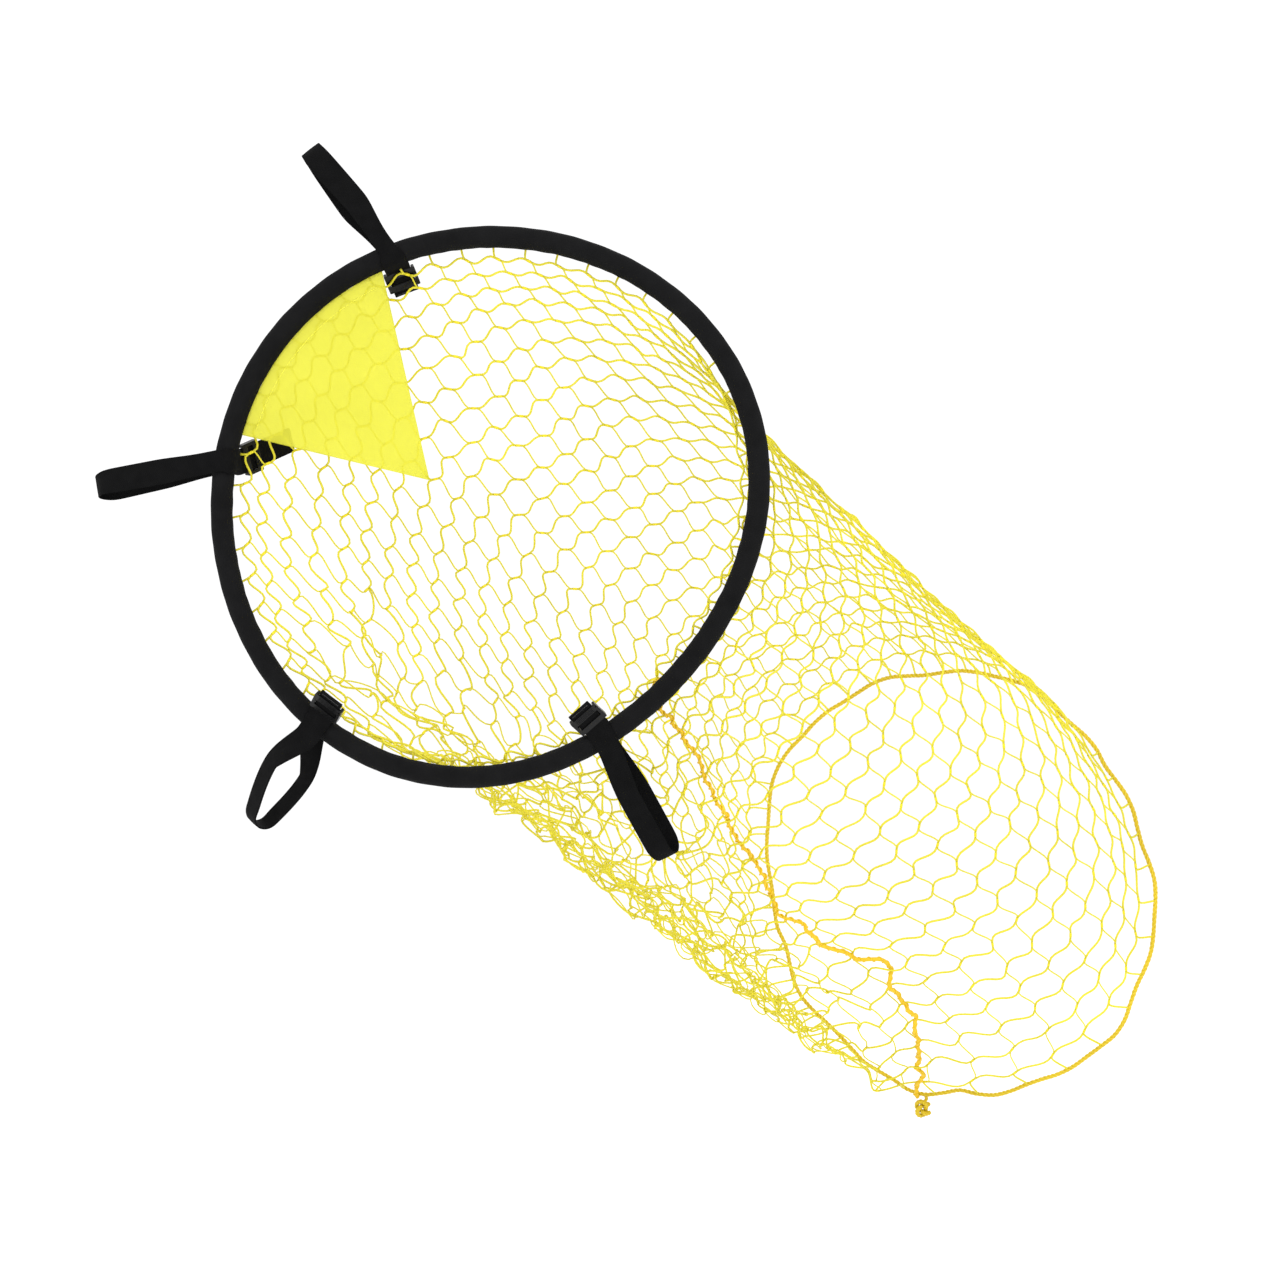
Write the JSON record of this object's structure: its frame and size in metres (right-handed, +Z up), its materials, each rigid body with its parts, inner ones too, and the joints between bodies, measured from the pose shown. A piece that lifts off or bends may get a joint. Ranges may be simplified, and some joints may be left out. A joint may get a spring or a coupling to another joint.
{
  "type": "folding target net",
  "caption": "Round padded spring hoop with an open-ended skewed net tube behind it, a cloth panel over one corner of the mouth and webbing loops with slide buckles round the rim.",
  "frame": {"origin": "centre of the hoop, on its centre line's plane", "axes": "-Y out of the mouth towards the incoming ball, +Z up as hung, the net trails to +X, +Y and -Z"},
  "size_m": [1.1229, 0.5285, 1.0479],
  "materials": {
    "spring_steel": "satin",
    "ferrule_metal": "satin",
    "foam": "matte",
    "sleeve_fabric": "matte",
    "black_thread": "matte",
    "webbing": "matte",
    "buckle_plastic": "gloss",
    "panel_cloth": "matte",
    "panel_thread": "matte",
    "net_cord": "satin",
    "seam_cord": "satin",
    "tail_rope": "satin"
  },
  "bodies": {
    "hoop": {"spring_hoop": "spring_steel", "hoop_ferrule": "ferrule_metal", "hoop_padding": "foam", "hoop_sleeve": "sleeve_fabric", "sleeve_stitching": "black_thread", "fan_hem": "panel_cloth", "fan_stitching": "panel_thread", "net_tube": "net_cord", "side_seam_lacing": "seam_cord"},
    "top_strap": {"top_strap": "webbing", "top_bar_tack": "black_thread"},
    "top_buckle": {"top_buckle": "buckle_plastic"},
    "left_strap": {"left_strap": "webbing", "left_bar_tack": "black_thread"},
    "left_buckle": {"left_buckle": "buckle_plastic"},
    "lower_left_strap": {"lower_left_strap": "webbing", "lower_left_bar_tack": "black_thread"},
    "lower_left_buckle": {"lower_left_buckle": "buckle_plastic"},
    "bottom_strap": {"bottom_strap": "webbing", "bottom_bar_tack": "black_thread"},
    "bottom_buckle": {"bottom_buckle": "buckle_plastic"},
    "fan_flap": {"fan_flap": "panel_cloth"},
    "net_tail": {"tail_rope": "tail_rope", "tail_knot": "tail_rope"}
  },
  "joints": [
    {"name": "top_strap_swing", "type": "hinge", "parent": "hoop", "child": "top_strap", "pos_m": [-0.09816, 0, 0.2492], "axis": [0.9353, 0, 0.3537], "range_deg": [-8, 70]},
    {"name": "top_buckle_slide", "type": "slide", "parent": "top_strap", "child": "top_buckle", "axis": [0.2862, 0.5878, -0.7567], "range_m": [0, 0.003]},
    {"name": "left_strap_swing", "type": "hinge", "parent": "hoop", "child": "left_strap", "pos_m": [-0.26252, 0, 0.04629], "axis": [0.1598, 0, 0.9871], "range_deg": [-20, 70]},
    {"name": "left_buckle_slide", "type": "slide", "parent": "left_strap", "child": "left_buckle", "axis": [0.6325, 0.67, 0.3887], "range_m": [0, 0.015]},
    {"name": "lower_left_strap_swing", "type": "hinge", "parent": "hoop", "child": "lower_left_strap", "pos_m": [-0.17154, 0, -0.21184], "axis": [-0.7656, 0, 0.6433], "range_deg": [-45, 40]},
    {"name": "lower_left_buckle_slide", "type": "slide", "parent": "lower_left_strap", "child": "lower_left_buckle", "axis": [0.4004, -0.7054, 0.5849], "range_m": [0, 0.003]},
    {"name": "bottom_strap_swing", "type": "hinge", "parent": "hoop", "child": "bottom_strap", "pos_m": [0.11037, 0, -0.22629], "axis": [-0.8533, 0, -0.5214], "range_deg": [-25, 35]},
    {"name": "bottom_buckle_slide", "type": "slide", "parent": "bottom_strap", "child": "bottom_buckle", "axis": [-0.5952, -0.561, 0.5753], "range_m": [0, 0.003]},
    {"name": "panel_flap", "type": "hinge", "parent": "hoop", "child": "fan_flap", "pos_m": [-0.16299, 0, 0.1406], "axis": [-0.6489, 0, -0.7609], "range_deg": [-10, 75]},
    {"name": "net_gather", "type": "slide", "parent": "hoop", "child": "net_tail", "axis": [-0.6795, -0.4882, 0.5476], "range_m": [0, 0.45], "deforming": ["net_tube", "side_seam_lacing"]}
  ]
}
